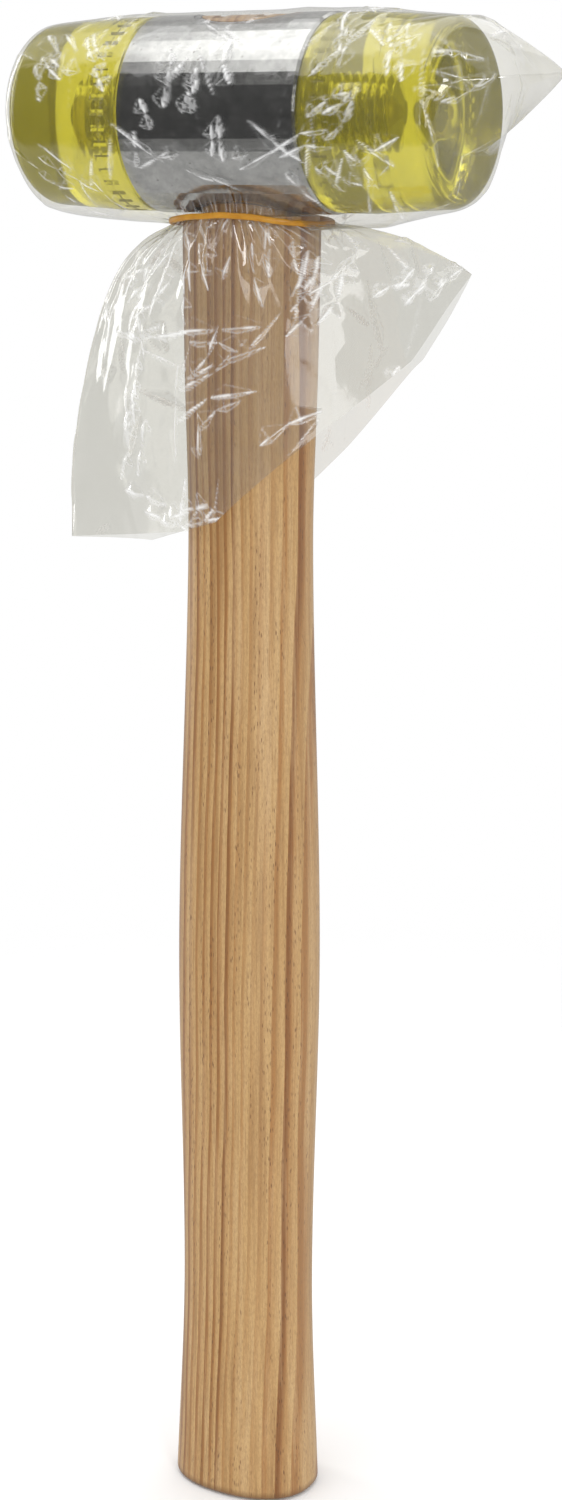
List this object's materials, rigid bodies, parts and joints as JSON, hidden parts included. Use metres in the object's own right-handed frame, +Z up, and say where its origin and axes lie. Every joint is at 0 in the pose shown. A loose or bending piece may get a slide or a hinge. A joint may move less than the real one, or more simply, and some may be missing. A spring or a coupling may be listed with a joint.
{
  "type": "dead blow mallet",
  "caption": "Soft-face dead blow mallet: chromed steel tube head with screw-on clear yellow plastic faces, oval ash handle, and a clear film bag tied over the head.",
  "frame": {"origin": "centre of the handle's flat butt face", "axes": "+Z up the handle to the head, +X along the head towards the right face"},
  "size_m": [0.1238, 0.0464, 0.3353],
  "materials": {
    "ash": "clear lacquered ash",
    "wedge_wood": "bare",
    "plain_steel": "bright zinc",
    "chromed_steel": "polished",
    "face_plastic": "clear yellow, polished",
    "shot": "dull",
    "film": "clear polyethylene film",
    "band_rubber": "satin amber"
  },
  "bodies": {
    "mallet": {"handle": "ash", "wooden_wedge": "wedge_wood", "steel_wedge_left": "plain_steel", "steel_wedge_right": "plain_steel", "head_tube": "chromed_steel", "eye_sleeve": "plain_steel", "end_plug_left": "plain_steel", "end_plug_right": "plain_steel", "face_stud_left": "plain_steel", "face_stud_right": "plain_steel", "protective_bag": "film", "rubber_band": "band_rubber"},
    "washer_left": {"lock_washer_left": "plain_steel"},
    "washer_right": {"lock_washer_right": "plain_steel"},
    "face_left": {"face_left": "face_plastic"},
    "face_right": {"face_right": "face_plastic"},
    "shot": {"shot_charge": "shot"}
  },
  "joints": [
    {"name": "face_left_travel", "type": "slide", "parent": "mallet", "child": "washer_left", "axis": [-1, 0, 0], "range_m": [0, 0.012], "deforming": ["protective_bag"]},
    {"name": "face_left_turn", "type": "hinge", "parent": "washer_left", "child": "face_left", "pos_m": [-0.0217, 0, 0.3121], "axis": [-1, 0, 0], "range_deg": [0, 2160.01]},
    {"name": "face_right_travel", "type": "slide", "parent": "mallet", "child": "washer_right", "axis": [1, 0, 0], "range_m": [0, 0.012], "deforming": ["protective_bag"]},
    {"name": "face_right_turn", "type": "hinge", "parent": "washer_right", "child": "face_right", "pos_m": [0.0217, 0, 0.3121], "axis": [1, 0, 0], "range_deg": [0, 2160.01]},
    {"name": "shot_rush", "type": "slide", "parent": "mallet", "child": "shot", "axis": [1, 0, 0], "range_m": [-0.0015, 0.0015]}
  ],
  "couplings": [
    {"joint": "face_left_turn", "follows": "face_left_travel", "rad_per_m": 3141.6},
    {"joint": "face_right_turn", "follows": "face_right_travel", "rad_per_m": 3141.6}
  ]
}
